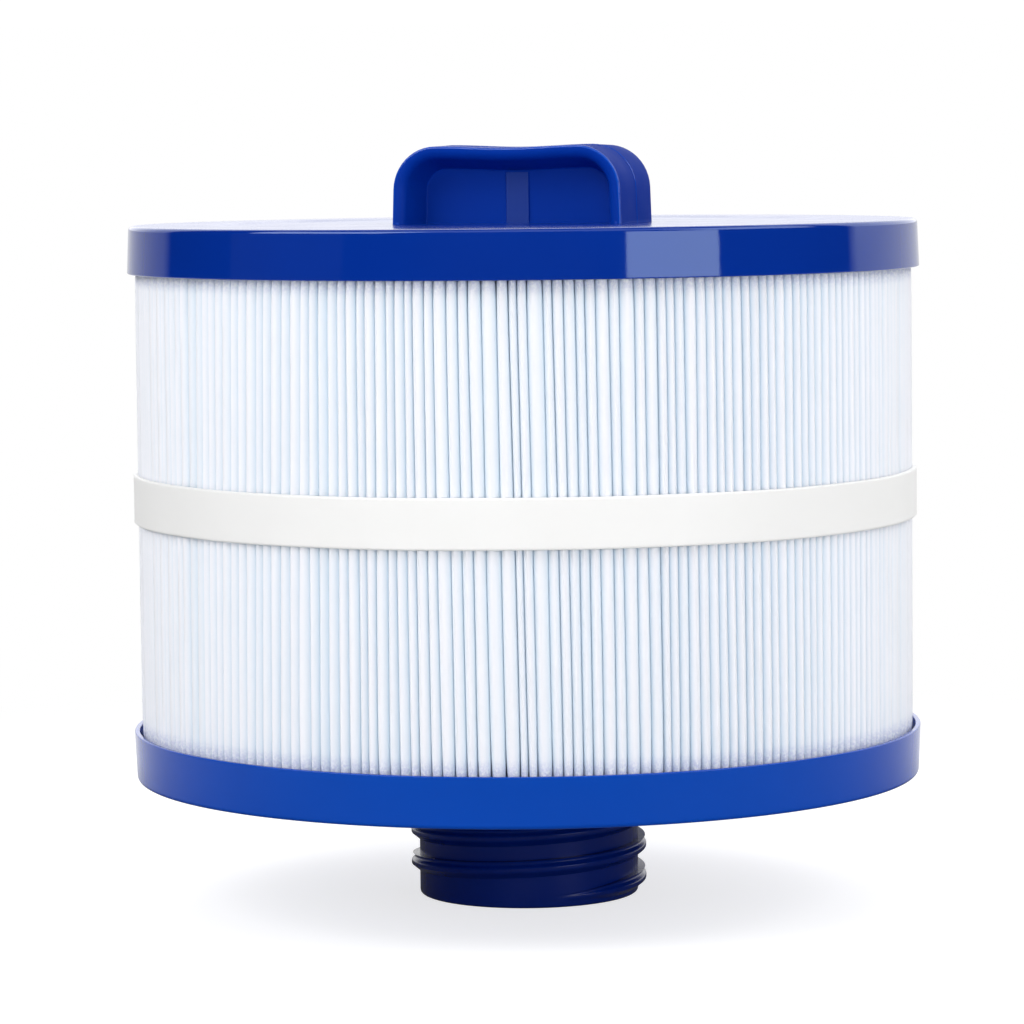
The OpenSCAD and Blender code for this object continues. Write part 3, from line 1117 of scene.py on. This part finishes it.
def make_world():
    """White to the camera. All else sees a white cove behind the object and a dark front. The cove
    is dimmer at its left, and brighter above the horizon."""
    world = bpy.data.worlds.new("studio")
    bpy.context.scene.world = world
    world.use_nodes = True
    graph = Graph(world.node_tree)
    direction = graph.nodes.new("ShaderNodeTexCoord").outputs["Generated"]
    behind = graph.reach(direction, turned(172.5, 1, 0))
    rightward = graph.reach(direction, turned(90, 1, 0))
    cove = graph.ramp(behind, 0.41, 0.48, to_low=0.02, to_high=0.85)
    fall = graph.ramp(rightward, -0.8, -0.3, to_low=0.5)
    rise = graph.ramp(graph.upright(direction), 0.02, 0.06, to_low=1.0, to_high=1.8)
    lit = graph.math("MULTIPLY", graph.math("MULTIPLY", cove, fall), rise)
    camera_ray = graph.nodes.new("ShaderNodeLightPath").outputs["Is Camera Ray"]
    background = graph.nodes["Background"]
    background.inputs["Color"].default_value = (1, 1, 1, 1)
    graph.links.new(graph.math("MAXIMUM", lit, camera_ray), background.inputs["Strength"])


def floor_white():
    """White that takes the object's soft shadow near it, and is plain to the camera further off."""
    mat = bpy.data.materials.new("floor_white")
    mat.use_nodes = True
    graph = Graph(mat.node_tree)
    graph.nodes.clear()
    place = graph.nodes.new("ShaderNodeTexCoord").outputs["Object"]
    paths = graph.nodes.new("ShaderNodeLightPath")
    camera_ray = paths.outputs["Is Camera Ray"]
    distance = graph.length(place)
    lit = graph.nodes.new("ShaderNodeBsdfDiffuse")
    lit.inputs["Color"].default_value = (0.5, 0.5, 0.5, 1)
    near = graph.nodes.new("ShaderNodeAddShader")
    graph.links.new(lit.outputs["BSDF"], near.inputs[0])
    graph.links.new(graph.glow(graph.math("MULTIPLY", camera_ray, 0.72)), near.inputs[1])
    far = graph.ramp(distance, 0.12, 0.45, interpolation="SMOOTHSTEP")
    seen_far = graph.math("MULTIPLY", far, camera_ray)
    seen = graph.blend(seen_far, near.outputs["Shader"], graph.glow())

    # Gloss sees a painted reflection: a glow that is dark in front of the object, darker still near it
    # as a painted shadow, and white further off behind it
    behind = graph.reach(place, turned(180, 1, 0))
    shade = graph.ramp(behind, -0.3, 0.3, to_low=0.12)
    under = graph.ramp(distance, 0.12, 0.3, to_low=0.15)
    mirrored = graph.glow(graph.math("MULTIPLY", shade, under))
    choice = graph.blend(paths.outputs["Is Glossy Ray"], seen, mirrored)
    output = graph.nodes.new("ShaderNodeOutputMaterial")
    graph.links.new(choice, output.inputs["Surface"])
    return mat


def make_floor():
    """A round white floor under the object."""
    size = 1.2
    corners = 96
    turns = [TAU * k / corners for k in range(corners)]
    mesh = bpy.data.meshes.new("floor")
    rim = [(size * math.cos(a), size * math.sin(a), 0) for a in turns]
    mesh.from_pydata(rim, [], [tuple(range(corners))])
    mesh.materials.append(floor_white())
    floor = place_in_scene("floor", mesh)


def make_camera():
    """A camera a little above the top cap, 1.2 m away, with a long lens, that looks slightly down."""
    distance = 1.1965
    height = TOP_FACE + 19.5 * MM
    pitch = 0.0827
    yaw = 0.0031
    roll = -0.0106
    level = Vector((math.cos(yaw), math.sin(yaw), 0))
    flat = math.cos(pitch)
    ahead = Vector((-math.sin(yaw) * flat, math.cos(yaw) * flat, -math.sin(pitch)))
    up = level.cross(ahead)
    right = level * math.cos(roll) + up * math.sin(roll)
    up = right.cross(ahead)
    turn = Matrix((right, up, -ahead)).transposed()
    about = Matrix.Rotation(VIEW_AZIMUTH, 3, "Z")
    camera = bpy.data.cameras.new("camera")
    camera.sensor_width = 36
    camera.lens = 153.5
    obj = place_in_scene("camera", camera)
    obj.matrix_world = Matrix.Translation(turned(0, distance, height)) @ (about @ turn).to_4x4()
    bpy.context.scene.camera = obj


def light_studio():
    """The lamps: azimuth, elevation, distance, width, height and radiance of each."""
    softbox("top_front_box", 0, 58, 1.3, 1.6, 1.0, 0.9)
    softbox("front_fill_box", -4, 7, 1.4, 1.2, 0.9, 2.5, gloss=False)
    softbox("back_fill_box", 180, 30, 1.4, 1.2, 0.9, 1.6, gloss=False)
    softbox("right_box", 41.3, 4, 1.3, 0.62, 0.45, 2.9)
    softbox("right_high_box", 72, 36, 1.3, 0.9, 0.8, 2.55)
    softbox("left_high_box", -62, 36, 1.3, 1.0, 0.8, 3.35)
    softbox("left_dim_box", -69, 8, 1.4, 0.95, 0.5, 0.06, tilt=12)


make_camera()
make_world()
make_floor()
light_studio()

cap_blue = moulded_blue(
    "cap_blue",
    (0.0006, 0.025, 0.265),
    (0.0008, 0.029, 0.305),
    0.04,
    0.86,
    tint=(0.62, 0.82, 1),
    face_gloss=0.16,
)
# Painted light: the lower cap is a lighter copy of the top cap's blue, though both are one plastic
low_cap_painted_light_blue = moulded_blue("low_cap_painted_light_blue", (0.0006, 0.056, 0.41), (0.001, 0.066, 0.47), 0.12, 0.3)
# Painted light: the grip is a lighter copy of the caps' blue plastic, to brighten its shaded pockets
grip_painted_light_blue = moulded_blue("grip_painted_light_blue", (0.0006, 0.037, 0.355), (0.0008, 0.043, 0.395), 0.34, 0.1)
grip_satin = moulded_blue("grip_satin", (0.001, 0.038, 0.3), (0.0015, 0.044, 0.34), 0.42, 0.5)
grip_rough = moulded_blue("grip_textured", (0.0005, 0.029, 0.29), (0.0007, 0.035, 0.33), 0.5, 0.03)
# Painted highlight: a glossier, lighter blue for the grip's parting line and rims' edges
grip_edge = moulded_blue("grip_gloss_and_highlight", (0.001, 0.06, 0.45), (0.0015, 0.07, 0.5), 0.05, 0.5)
# Painted shade: the outlet is a darker copy of the caps' blue, for the shade under the lower cap
outlet_painted_shade_blue = moulded_blue("outlet_painted_shade_blue", (0.0002, 0.012, 0.15), (0.0004, 0.018, 0.2), 0.2, 0.3)

make_top_cap(cap_blue)
make_bottom_cap(low_cap_painted_light_blue)
make_grip(grip_painted_light_blue, grip_satin, grip_rough, grip_edge)
make_outlet(outlet_painted_shade_blue)
make_sheet(filter_fabric())
make_band(strap_plastic())
resin = cast_resin()
dress_node("top_potting", resin)
dress_node("bottom_potting", resin)
dress_node("core_tube", core_plastic())
dress_node("seam_glue", melted_glue())

bpy.context.scene.view_settings.view_transform = "Standard"
